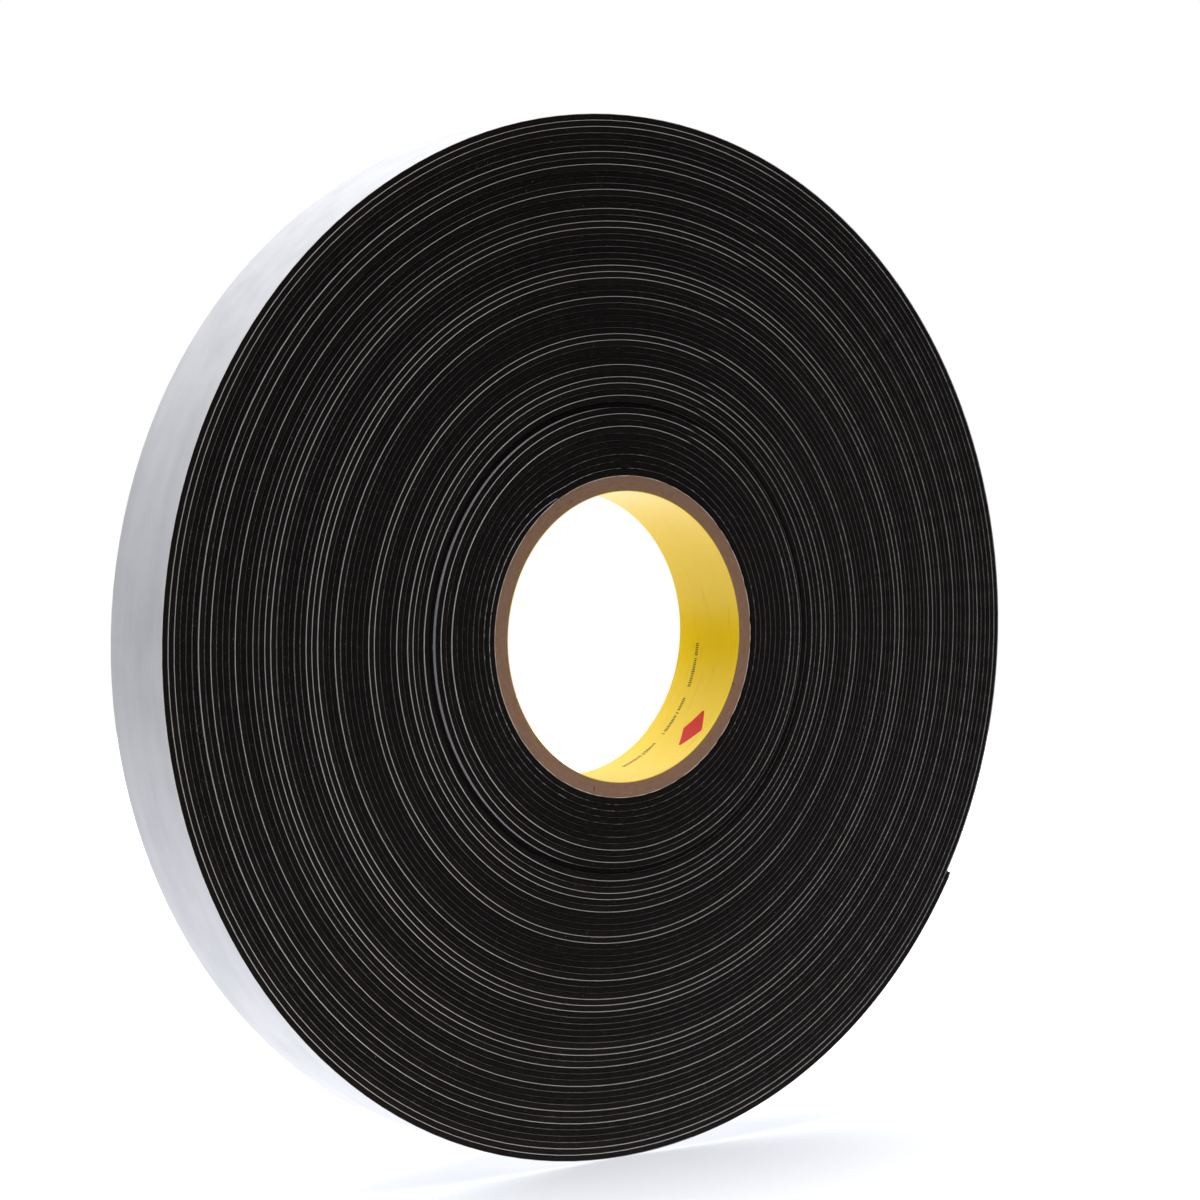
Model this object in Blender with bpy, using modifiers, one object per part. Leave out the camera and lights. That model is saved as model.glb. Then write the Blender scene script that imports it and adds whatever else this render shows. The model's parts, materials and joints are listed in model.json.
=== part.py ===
"""A roll of single-coated foam tape, with its release liner, on a spiral-wound paperboard core.

The roll stands on its rim. The origin is the centre of the core's bore, halfway across the width, +Y is
the roll's axis, away from the front, and +Z is up. Every piece is drawn as it looks from the front, in
its own X and Y with Z towards the front, under one empty that turns it upright.

The tape is wound anticlockwise from the inside, liner outwards, and its free end is at the lower right.
Wound pieces are faceted: each turn has FACETS flats, and each flat touches the true spiral at its
middle, so sizes across flats are the real sizes and the roll rests on a flat.
"""

import math

import bmesh
import bpy
from mathutils import Matrix, Vector

MM = 0.001

# Tape. Its layers lie foam, adhesive, liner from the inside out.
TAPE_WIDTH = 25.4 * MM
FOAM_THICKNESS = 1.43 * MM
ADHESIVE_THICKNESS = 0.05 * MM
LINER_THICKNESS = 0.075 * MM
LAYER_GAP = 0.02 * MM  # between two layers that touch

# Core. The printed ply lines the bore, then board plies, then a thin cover ply.
CORE_BORE_RADIUS = 38.1 * MM
CORE_WIDTH = 25.4 * MM
PRINT_PLY_THICKNESS = 0.18 * MM
BOARD_PLY_THICKNESS = 0.89 * MM
BOARD_PLIES = 4
COVER_PLY_THICKNESS = 0.2 * MM
PLY_GAP = 0.04 * MM
SEAM_WIDTH = 0.4 * MM  # between the two edges of a ply, which is wound as a helix
SEAM_TILT = math.radians(60)  # between that seam and the core's axis
FIRST_SEAM_ANGLE = math.radians(235)
SEAM_STEP = math.radians(137)  # from one ply's seam round to the next one's

# Strip of double-sided tape that holds the tape's inner end on the core.
START_STRIP_LENGTH = 60 * MM
START_STRIP_THICKNESS = 0.12 * MM

# Winding. Angles are anticlockwise from +X, seen from the front.
INNER_END_ANGLE = math.radians(122.2)
FREE_END_ANGLE = math.radians(-31.2)
WHOLE_TURNS = 57  # full turns between those two ends, which a part of a turn follows
SETTLING_TURNS = 8  # turns over which the step at the inner end fades into an even spiral
FACETS = 20
CORE_FACETS = 40  # a multiple of FACETS, so that the flats of the two line up

# Free end. Its last stretch lifts off the roll, and the liner peels off the last of that.
LIFTING_LENGTH = 100 * MM
LIFTING_SEGMENTS = 3
PEELING_LENGTH = 24 * MM
PEELING_SEGMENTS = 3
SEGMENT_GAP = 0.3 * MM

# Derived sizes.
FACET = math.tau / FACETS
ADHESIVE_INSIDE = FOAM_THICKNESS + LAYER_GAP
ADHESIVE_OUTSIDE = ADHESIVE_INSIDE + ADHESIVE_THICKNESS
LINER_INSIDE = ADHESIVE_OUTSIDE + LAYER_GAP
LINER_OUTSIDE = LINER_INSIDE + LINER_THICKNESS
PITCH = LINER_OUTSIDE + LAYER_GAP
BOARD_INSIDE_RADIUS = CORE_BORE_RADIUS + PRINT_PLY_THICKNESS + PLY_GAP
COVER_INSIDE_RADIUS = BOARD_INSIDE_RADIUS + BOARD_PLIES * (BOARD_PLY_THICKNESS + PLY_GAP)
CORE_RADIUS = COVER_INSIDE_RADIUS + COVER_PLY_THICKNESS
WINDING_RADIUS = CORE_RADIUS + START_STRIP_THICKNESS + 2 * LAYER_GAP
PART_TURN = (FREE_END_ANGLE - INNER_END_ANGLE) % math.tau
FREE_END = INNER_END_ANGLE + WHOLE_TURNS * math.tau + PART_TURN


def new_collection(name):
    """A collection in the scene."""
    collection = bpy.data.collections.new(name)
    bpy.context.scene.collection.children.link(collection)
    return collection


def new_material(name, colour, roughness):
    """A plain Principled material."""
    material = bpy.data.materials.new(name)
    material.use_nodes = True
    shader = material.node_tree.nodes["Principled BSDF"]
    shader.inputs["Base Color"].default_value = (*colour, 1.0)
    shader.inputs["Roughness"].default_value = roughness
    shader.inputs["Metallic"].default_value = 0.0
    return material


def new_object(name, data, collection, parent):
    """An object in a collection, under a parent."""
    obj = bpy.data.objects.new(name, data)
    collection.objects.link(obj)
    obj.parent = parent
    return obj


def shade(obj, material):
    """Give a piece its material, and shade its round walls smooth."""
    obj.data.materials.append(material)
    obj.data.shade_smooth()
    obj.data.set_sharp_from_angle(angle=FACET * 1.1)


# The spiral.


def wound_radius(angle):
    """Radius of the tape's inner surface, at an angle counted on from the inner end's through the turns.

    The first turn lies on the core, and climbs over the tape's own inner end one facet before it gets
    there. Turn by turn that step fades, until the radius grows evenly.
    """
    turns = (angle - INNER_END_ANGLE) / math.tau
    turn = math.floor(turns)
    even = turns - turn
    stepped = min(max(even * FACETS - (FACETS - 2), 0.0), 1.0)
    settled = min(max(turns / SETTLING_TURNS, 0.0), 1.0)
    return WINDING_RADIUS + PITCH * (turn + stepped + (even - stepped) * settled)


def corner(index, depth):
    """A corner of the faceted spiral, at a depth out from the tape's inner surface."""
    angle = (index + 0.5) * FACET
    radius = (wound_radius(angle) + depth) / math.cos(FACET / 2)
    return Vector((radius * math.cos(angle), radius * math.sin(angle), 0.0))


def on_facet(angle, depth):
    """The point of the faceted spiral at an angle."""
    index = math.floor(angle / FACET - 0.5)
    first = corner(index, depth)
    side = corner(index + 1, depth) - first
    ray = Vector((math.cos(angle), math.sin(angle), 0.0))
    share = first.cross(ray).z / ray.cross(side).z
    return first + side * share


def layer_points(start, end, depth):
    """A layer's surface from one angle to another: its ends, and each corner between them."""
    first = math.floor(start / FACET - 0.5) + 1
    last = math.ceil(end / FACET - 0.5) - 1
    corners = [corner(index, depth) for index in range(first, last + 1)]
    return [on_facet(start, depth), *corners, on_facet(end, depth)]


def outside_point(angle):
    """The point of the liner's outer surface at an angle."""
    return on_facet(angle, LINER_OUTSIDE)


def angle_back(length):
    """The angle at a length back along the tape from its free end."""
    return FREE_END - length / wound_radius(FREE_END)


# Pieces.


def make_strip(name, start, end, inside, outside, material, collection, parent, pivot=Vector()):
    """A stretch of one layer: its front edge face, drawn out section by section, then drawn to the back."""
    sections = zip(layer_points(start, end, inside), layer_points(start, end, outside))
    front = Vector((0.0, 0.0, TAPE_WIDTH / 2)) - pivot
    mesh = bmesh.new()
    edge = None
    for inner, outer in sections:
        if edge is None:
            edge = mesh.edges.new([mesh.verts.new(inner + front), mesh.verts.new(outer + front)])
            continue
        drawn = bmesh.ops.extrude_edge_only(mesh, edges=[edge])["geom"]
        near_inner = edge.verts[0]
        edge = next(item for item in drawn if isinstance(item, bmesh.types.BMEdge)
                    and not set(item.verts) & set(edge.verts))
        linked = {spoke.other_vert(near_inner) for spoke in near_inner.link_edges}
        inner_vert = next(vert for vert in edge.verts if vert in linked)
        outer_vert = edge.other_vert(inner_vert)
        inner_vert.co = inner + front
        outer_vert.co = outer + front
    wall = bmesh.ops.extrude_face_region(mesh, geom=mesh.faces[:])["geom"]
    back = [item for item in wall if isinstance(item, bmesh.types.BMVert)]
    bmesh.ops.translate(mesh, verts=back, vec=(0.0, 0.0, -TAPE_WIDTH))
    bmesh.ops.recalc_face_normals(mesh, faces=mesh.faces[:])
    data = bpy.data.meshes.new(name)
    mesh.to_mesh(data)
    mesh.free()
    piece = new_object(name, data, collection, parent)
    shade(piece, material)
    return piece


def make_ply(name, radius, thickness, seam_angle, material, collection, cutters, parent):
    """A ply of the core: a turned ring, cut along the slanting seam where the ply's edges meet."""
    half_facet = math.pi / CORE_FACETS
    inner, outer = (size / math.cos(half_facet) for size in (radius, radius + thickness))
    top, bottom = CORE_WIDTH / 2, -CORE_WIDTH / 2
    profile = bmesh.new()
    verts = [profile.verts.new((x, 0.0, z)) for x, z in ((outer, top), (outer, bottom), (inner, bottom),
                                                         (inner, top))]
    for first, second in zip(verts, verts[1:] + verts[:1]):
        profile.edges.new((first, second))
    data = bpy.data.meshes.new(name)
    profile.to_mesh(data)
    profile.free()
    ply = new_object(name, data, collection, parent)
    ply.rotation_euler.z = half_facet
    data.materials.append(material)

    turn = ply.modifiers.new("turn", "SCREW")
    turn.axis = "Z"
    turn.angle = math.tau
    turn.steps = turn.render_steps = CORE_FACETS
    turn.use_merge_vertices = True
    turn.merge_threshold = 0.01 * MM
    turn.use_normal_calculate = True

    seam = ply.modifiers.new("seam", "BOOLEAN")
    seam.operation = "DIFFERENCE"
    seam.solver = "EXACT"
    seam.object = make_seam_cutter(name + "_seam", radius, thickness, seam_angle, cutters, parent)
    return ply


def make_seam_cutter(name, radius, thickness, seam_angle, cutters, parent):
    """A slab through one side of a ply, tilted across the core's axis, as wide as the seam."""
    near = radius / 4  # the slab stops short of the axis, so it leaves the ply's far side whole
    depth = radius + thickness + 10 * MM - near
    length = 2 * CORE_WIDTH / math.cos(SEAM_TILT)
    place = (Matrix.Translation((near + depth / 2, 0.0, 0.0)) @ Matrix.Rotation(SEAM_TILT, 4, "X")
             @ Matrix.Diagonal((depth, SEAM_WIDTH, length, 1.0)))
    slab = bmesh.new()
    bmesh.ops.create_cube(slab, size=1.0, matrix=place)
    data = bpy.data.meshes.new(name)
    slab.to_mesh(data)
    slab.free()
    cutter = new_object(name, data, cutters, parent)
    cutter.rotation_euler.z = seam_angle
    cutter.display_type = "WIRE"
    cutter.hide_render = True
    return cutter


def new_hinge(name, angle, collection, parent, parent_pivot):
    """An empty on the liner's outer surface, where the tape bends, and its place from the roll's axis."""
    pivot = outside_point(angle)
    hinge = new_object(name, None, collection, parent)
    hinge.empty_display_size = TAPE_WIDTH / 4
    hinge.location = pivot - parent_pivot
    return hinge, pivot


# Sub-assemblies.


def make_core(collection, cutters, parent):
    """The core's plies, from the printed one that lines the bore to the cover."""
    yellow = new_material("yellow_printed_paper", (0.82, 0.55, 0.03), 0.5)
    board = new_material("kraft_board", (0.26, 0.16, 0.1), 0.9)
    kraft = new_material("kraft_paper", (0.42, 0.28, 0.18), 0.8)
    make_ply("core_print_ply", CORE_BORE_RADIUS, PRINT_PLY_THICKNESS, FIRST_SEAM_ANGLE, yellow, collection,
             cutters, parent)
    for index in range(BOARD_PLIES):
        make_ply(f"core_board_ply_{index + 1}", BOARD_INSIDE_RADIUS + index * (BOARD_PLY_THICKNESS + PLY_GAP),
                 BOARD_PLY_THICKNESS, FIRST_SEAM_ANGLE + (index + 1) * SEAM_STEP, board, collection, cutters,
                 parent)
    make_ply("core_cover_ply", COVER_INSIDE_RADIUS, COVER_PLY_THICKNESS,
             FIRST_SEAM_ANGLE + (BOARD_PLIES + 1) * SEAM_STEP, kraft, collection, cutters, parent)


def make_winding(foam, liner, collection, parent):
    """The strip that holds the inner end, and the foam and the liner up to where the free end lifts.

    Here the foam's own thickness takes in its adhesive coat.
    """
    tissue = new_material("double_sided_tissue_tape", (0.6, 0.58, 0.5), 0.4)
    lift_angle = angle_back(LIFTING_LENGTH)
    gap_angle = SEGMENT_GAP / 2 / wound_radius(FREE_END)
    make_strip("start_strip", INNER_END_ANGLE, INNER_END_ANGLE + START_STRIP_LENGTH / WINDING_RADIUS,
               -LAYER_GAP - START_STRIP_THICKNESS, -LAYER_GAP, tissue, collection, parent)
    make_strip("foam_winding", INNER_END_ANGLE, lift_angle - gap_angle, 0.0, ADHESIVE_OUTSIDE, foam,
               collection, parent)
    make_strip("liner_winding", INNER_END_ANGLE, lift_angle - gap_angle, LINER_INSIDE, LINER_OUTSIDE, liner,
               collection, parent)


def make_free_end(foam, liner, collection, parent):
    """The lifting stretch in hinged segments, and on its last one the liner's own peeling segments."""
    adhesive = new_material("acrylic_adhesive", (0.55, 0.5, 0.4), 0.2)
    gap_angle = SEGMENT_GAP / 2 / wound_radius(FREE_END)
    peel_angle = angle_back(PEELING_LENGTH)
    pivot = Vector()
    for index in range(LIFTING_SEGMENTS):
        length_left = LIFTING_LENGTH * (1 - index / LIFTING_SEGMENTS)
        root = angle_back(length_left)
        tip = angle_back(length_left - LIFTING_LENGTH / LIFTING_SEGMENTS)
        last = index == LIFTING_SEGMENTS - 1
        start = root + gap_angle
        end = tip if last else tip - gap_angle
        parent, pivot = new_hinge(f"tail_hinge_{index + 1}", root, collection, parent, pivot)
        make_strip(f"tail_foam_{index + 1}", start, end, 0.0, FOAM_THICKNESS, foam, collection, parent, pivot)
        make_strip(f"tail_adhesive_{index + 1}", start, end, ADHESIVE_INSIDE, ADHESIVE_OUTSIDE, adhesive,
                   collection, parent, pivot)
        liner_end = peel_angle - gap_angle if last else end
        make_strip(f"tail_liner_{index + 1}", start, liner_end, LINER_INSIDE, LINER_OUTSIDE, liner,
                   collection, parent, pivot)
    for index in range(PEELING_SEGMENTS):
        length_left = PEELING_LENGTH * (1 - index / PEELING_SEGMENTS)
        root = angle_back(length_left)
        tip = angle_back(length_left - PEELING_LENGTH / PEELING_SEGMENTS)
        end = tip if index == PEELING_SEGMENTS - 1 else tip - gap_angle
        parent, pivot = new_hinge(f"flap_hinge_{index + 1}", root, collection, parent, pivot)
        make_strip(f"liner_flap_{index + 1}", root + gap_angle, end, LINER_INSIDE, LINER_OUTSIDE, liner,
                   collection, parent, pivot)


def main():
    """Clear the scene and build the roll."""
    for obj in list(bpy.data.objects):
        bpy.data.objects.remove(obj)
    pieces = new_collection("foam_tape_roll")
    cutters = new_collection("cutters")
    upright = new_object("roll_axis", None, pieces, None)
    upright.rotation_euler.x = math.pi / 2
    foam = new_material("vinyl_foam", (0.012, 0.011, 0.01), 0.85)
    liner = new_material("release_liner", (0.72, 0.72, 0.74), 0.45)
    make_core(pieces, cutters, upright)
    make_winding(foam, liner, pieces, upright)
    make_free_end(foam, liner, pieces, upright)
    bpy.context.view_layer.update()


main()
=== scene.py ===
"""Looks of the roll of foam tape: its core, the wound foam and liner, and the free end that lifts.

Sizes are in metres unless a name says otherwise. The roll's axis is +Y, its front is towards -Y and +Z is
up. Angles are anticlockwise from +X, seen from the front. A place along the tape is given in turns from
its inner end, and the free end is at the lower right.
"""

import json
import logging
import math
from dataclasses import dataclass, field
from enum import Enum
from typing import Any

import bmesh
import bpy
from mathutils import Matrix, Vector, noise


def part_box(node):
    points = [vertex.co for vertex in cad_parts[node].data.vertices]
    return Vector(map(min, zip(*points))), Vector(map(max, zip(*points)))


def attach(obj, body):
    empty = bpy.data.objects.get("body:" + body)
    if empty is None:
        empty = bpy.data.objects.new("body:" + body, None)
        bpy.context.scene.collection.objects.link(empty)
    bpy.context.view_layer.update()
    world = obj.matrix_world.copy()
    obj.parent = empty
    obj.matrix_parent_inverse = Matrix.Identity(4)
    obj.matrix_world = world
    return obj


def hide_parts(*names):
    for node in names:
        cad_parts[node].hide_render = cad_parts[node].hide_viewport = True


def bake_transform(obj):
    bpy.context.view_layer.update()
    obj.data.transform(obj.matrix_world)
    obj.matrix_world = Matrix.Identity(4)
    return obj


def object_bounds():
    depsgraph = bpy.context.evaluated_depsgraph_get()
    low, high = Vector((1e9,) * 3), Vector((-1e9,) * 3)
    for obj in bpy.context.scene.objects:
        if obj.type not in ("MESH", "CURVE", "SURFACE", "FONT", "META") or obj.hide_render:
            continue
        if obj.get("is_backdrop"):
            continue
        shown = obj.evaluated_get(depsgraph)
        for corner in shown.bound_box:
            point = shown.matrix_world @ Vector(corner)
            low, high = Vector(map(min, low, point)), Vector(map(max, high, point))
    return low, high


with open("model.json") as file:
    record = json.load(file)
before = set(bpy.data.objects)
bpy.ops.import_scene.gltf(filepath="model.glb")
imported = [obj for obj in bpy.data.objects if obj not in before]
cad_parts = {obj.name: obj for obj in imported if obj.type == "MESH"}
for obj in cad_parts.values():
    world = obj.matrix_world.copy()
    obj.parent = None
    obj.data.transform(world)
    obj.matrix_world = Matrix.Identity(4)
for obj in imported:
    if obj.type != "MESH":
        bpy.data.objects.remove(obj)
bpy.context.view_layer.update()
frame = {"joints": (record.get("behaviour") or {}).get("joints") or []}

MM = 0.001
MATH = "ShaderNodeMath"
VECTOR_MATH = "ShaderNodeVectorMath"
MAP_RANGE = "ShaderNodeMapRange"
MIX = "ShaderNodeMix"
NOISE = "ShaderNodeTexNoise"
VORONOI = "ShaderNodeTexVoronoi"
COMBINE = "ShaderNodeCombineXYZ"
SEPARATE = "ShaderNodeSeparateXYZ"
RANDOM = "FunctionNodeRandomValue"
NUMBER = "NodeSocketFloat"
WHOLE = "NodeSocketInt"
EASED = {"interpolation_type": "SMOOTHSTEP"}
LOG = logging.getLogger("foam_tape_roll")


class Body(str, Enum):
    """The rigid bodies that pieces ride on."""

    ROLL = "roll"
    TAIL_1 = "tail_1"
    TAIL_2 = "tail_2"
    TAIL_3 = "tail_3"
    FLAP_1 = "liner_flap_1"
    FLAP_2 = "liner_flap_2"
    FLAP_3 = "liner_flap_3"


class Slot(str, Enum):
    """The record's material slots."""

    FOAM = "vinyl_foam"
    LINER = "release_liner"
    ADHESIVE = "acrylic_adhesive"
    TISSUE = "double_sided_tissue_tape"
    PRINT = "yellow_printed_paper"
    BOARD = "kraft_board"
    KRAFT = "kraft_paper"


# Nodes, colours and meshes.


def linear(hex_colour: str) -> tuple[float, float, float, float]:
    """Turn an sRGB hex colour into linear light.

    Args:
        hex_colour: The colour as six hex digits.

    Returns:
        Red, green, blue and an alpha of 1.
    """
    shares = [int(hex_colour[start:start + 2], 16) / 255 for start in (0, 2, 4)]
    light = [((share + 0.055) / 1.055) ** 2.4 if share > 0.04045 else share / 12.92 for share in shares]
    return (*light, 1.0)


def add_node(tree: bpy.types.NodeTree, kind: str, *inputs: Any, named: dict[Any, Any] | None = None,
             **settings: Any) -> bpy.types.Node:
    """Add a node with its settings and links.

    Args:
        tree: The tree that takes the node.
        kind: The node's type.
        inputs: Values, sockets or nodes for its inputs in order; None leaves one as it is.
        named: The same for inputs picked by name or by index.
        settings: The node's own properties.

    Returns:
        The node.
    """
    node = tree.nodes.new(kind)
    for name, value in settings.items():
        setattr(node, name, value)
    pairs = [(index, value) for index, value in enumerate(inputs) if value is not None]
    for key, value in [*pairs, *(named or {}).items()]:
        if isinstance(value, bpy.types.Node):
            value = value.outputs[0]
        if isinstance(value, bpy.types.NodeSocket):
            tree.links.new(value, node.inputs[key])
        else:
            node.inputs[key].default_value = value
    return node


def new_material(name: str) -> tuple[bpy.types.Material, bpy.types.NodeTree, bpy.types.Node]:
    """Make a material with nodes.

    Args:
        name: The material's name.

    Returns:
        The material, its tree and its Principled shader.
    """
    material = bpy.data.materials.new(name)
    material.use_nodes = True
    return material, material.node_tree, material.node_tree.nodes["Principled BSDF"]


def finish_shader(tree: bpy.types.NodeTree, shader: bpy.types.Node, colour: bpy.types.Node, roughness: float,
                  specular: float = 0.5, height: Any = None, strength: float = 0.0,
                  depth: float = 0.0) -> None:
    """Give a shader its colour, gloss and relief.

    Args:
        tree: The material's tree.
        shader: Its Principled shader.
        colour: The Mix node that gives the colour.
        roughness: The shader's roughness.
        specular: The shader's specular level.
        height: The relief, where the surface has one.
        strength: How strongly the relief shows.
        depth: How deep the relief is.
    """
    tree.links.new(colour.outputs[2], shader.inputs["Base Color"])
    shader.inputs["Roughness"].default_value = roughness
    shader.inputs["Specular IOR Level"].default_value = specular
    if height is not None:
        bump = add_node(tree, "ShaderNodeBump", named={
            "Strength": strength, "Distance": depth, "Height": height})
        tree.links.new(bump.outputs[0], shader.inputs["Normal"])


def finish_piece(piece: bpy.types.Object, slot: Slot, *nodes: str) -> bpy.types.Object:
    """Hide the CAD nodes that a piece stands for, and log its faces.

    Args:
        piece: The piece.
        slot: The record's material slot; it is not used.
        nodes: The CAD nodes that it replaces.

    Returns:
        The piece.
    """
    if nodes:
        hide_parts(*nodes)
    LOG.info("%s: %d faces", piece.name, len(piece.data.polygons))
    return piece


def mesh_piece(name: str, mesh: bmesh.types.BMesh, material: bpy.types.Material,
               sharp_above: float = math.radians(35)) -> bpy.types.Object:
    """Turn a bmesh into an object, smooth but for its sharp edges.

    Args:
        name: The object's name.
        mesh: The mesh, which is freed.
        material: Its material.
        sharp_above: The angle between faces from which an edge is sharp.

    Returns:
        The object.
    """
    data = bpy.data.meshes.new(name)
    mesh.to_mesh(data)
    mesh.free()
    data.materials.append(material)
    data.shade_smooth()
    data.set_sharp_from_angle(angle=sharp_above)
    piece = bpy.data.objects.new(name, data)
    bpy.context.scene.collection.objects.link(piece)
    return piece


def made_by_nodes(name: str, tree: bpy.types.NodeTree, values: dict[str, Any],
                  sharp_above: float = math.radians(35)) -> bpy.types.Object:
    """Run a Geometry Nodes tree and keep its result as a plain mesh.

    Args:
        name: The piece's name.
        tree: The tree.
        values: Its inputs, by name.
        sharp_above: The angle between faces from which an edge is sharp.

    Returns:
        The piece, with no modifier.
    """
    seed = bpy.data.objects.new(name + "_seed", bpy.data.meshes.new(name + "_seed"))
    bpy.context.scene.collection.objects.link(seed)
    modifier = seed.modifiers.new("nodes", "NODES")
    modifier.node_group = tree
    identifiers = {item.name: item.identifier for item in tree.interface.items_tree
                   if getattr(item, "in_out", "") == "INPUT"}
    for key, value in values.items():
        modifier[identifiers[key]] = value
    graph = bpy.context.evaluated_depsgraph_get()
    graph.update()
    data = bpy.data.meshes.new_from_object(seed.evaluated_get(graph), depsgraph=graph)
    data.name = name
    bpy.data.objects.remove(seed)
    data.set_sharp_from_angle(angle=sharp_above)
    piece = bpy.data.objects.new(name, data)
    bpy.context.scene.collection.objects.link(piece)
    return piece


def new_tree(name: str, inputs: dict[str, str]) -> tuple[bpy.types.NodeTree, dict[str, Any]]:
    """Make a Geometry Nodes tree with named inputs.

    Args:
        name: The tree's name.
        inputs: The socket type of each input, by name.

    Returns:
        The tree, and its input sockets by name.
    """
    tree = bpy.data.node_groups.new(name, "GeometryNodeTree")
    tree.interface.new_socket("Geometry", in_out="OUTPUT", socket_type="NodeSocketGeometry")
    for key, kind in inputs.items():
        tree.interface.new_socket(key, in_out="INPUT", socket_type=kind)
    group_input = tree.nodes.new("NodeGroupInput")
    return tree, {key: group_input.outputs[key] for key in inputs}


def end_tree(tree: bpy.types.NodeTree, geometry: bpy.types.Node, material: Any) -> None:
    """End a tree in Realize Instances and Set Material.

    Args:
        tree: The tree.
        geometry: The node whose geometry it ends with.
        material: The socket that names the material.
    """
    real = add_node(tree, "GeometryNodeRealizeInstances", geometry)
    smooth = add_node(tree, "GeometryNodeSetShadeSmooth", real)
    painted = add_node(tree, "GeometryNodeSetMaterial", smooth, None, material)
    add_node(tree, "NodeGroupOutput", painted)


# Finishes.


@dataclass(frozen=True)
class VinylFoam:
    """Closed-cell vinyl foam, slit with a knife: matt black, pitted where the knife opened its cells.

    The cells of such a foam are 0.1 to 0.3 mm across. They are drawn at 0.4 mm, so that they show.
    """

    skin: str = "171210"
    # The open cells' pits take a darker colour, which is painted shade, and their walls a lighter one, which
    # is painted highlight.
    pit_shade: str = "060404"
    wall_highlight: str = "352e2a"
    # A lighter, browner tone in patches, partly dust and partly painted sheen.
    dust_and_painted_light: str = "1e1815"
    cell: float = 0.4 * MM
    roughness: float = 0.88

    def make(self) -> bpy.types.Material:
        """Build the material."""
        material, tree, shader = new_material("closed_cell_vinyl_foam")
        place = add_node(tree, "ShaderNodeTexCoord").outputs["Object"]
        tape = add_node(tree, SEPARATE,
                        add_node(tree, "ShaderNodeAttribute", attribute_name="tape").outputs["Vector"])
        cells = add_node(tree, VORONOI, place, named={"Scale": 1 / self.cell})
        grain = add_node(tree, NOISE, place, named={"Scale": 1 / (0.9 * MM), "Detail": 4.0})
        sheen_patches = add_node(tree, NOISE, place, named={"Scale": 1 / (12 * MM), "Detail": 3.0})
        # Darker towards the middle of each open cell: painted shade in its pit. The same mask also gives the
        # relief.
        cell_relief_and_shading = add_node(tree, MAP_RANGE, cells, 0.15, 0.75, 0.0, 1.0)
        base = add_node(tree, MIX, cell_relief_and_shading, data_type="RGBA",
                        named={6: linear(self.pit_shade), 7: linear(self.skin)})
        # Lighter on the cell walls, where they catch the light: painted highlight.
        highlit_walls = add_node(tree, MAP_RANGE, add_node(tree, MATH, grain, cell_relief_and_shading, operation="MULTIPLY"),
                         0.5, 0.72, 0.0, 0.8)
        torn = add_node(tree, MIX, highlit_walls, data_type="RGBA", named={6: base.outputs[2], 7: linear(self.wall_highlight)})
        # Lighter brownish patches: partly dust, partly painted sheen.
        dust = add_node(tree, MATH, sheen_patches, tape.outputs["Z"], operation="MULTIPLY")
        # The patches follow the liner edge's bareness, which is lower round the right of the roll as painted
        # shade.
        dust = add_node(tree, MAP_RANGE, dust, 0.15, 0.6, 0.0, 0.6)
        dusted_and_sheened = add_node(tree, MIX, dust, data_type="RGBA",
                          named={6: torn.outputs[2], 7: linear(self.dust_and_painted_light)})
        height = add_node(tree, MATH, cell_relief_and_shading, grain, operation="ADD")
        finish_shader(tree, shader, dusted_and_sheened, self.roughness, 0.07, height, 0.9, 0.16 * MM)
        return material


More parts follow.
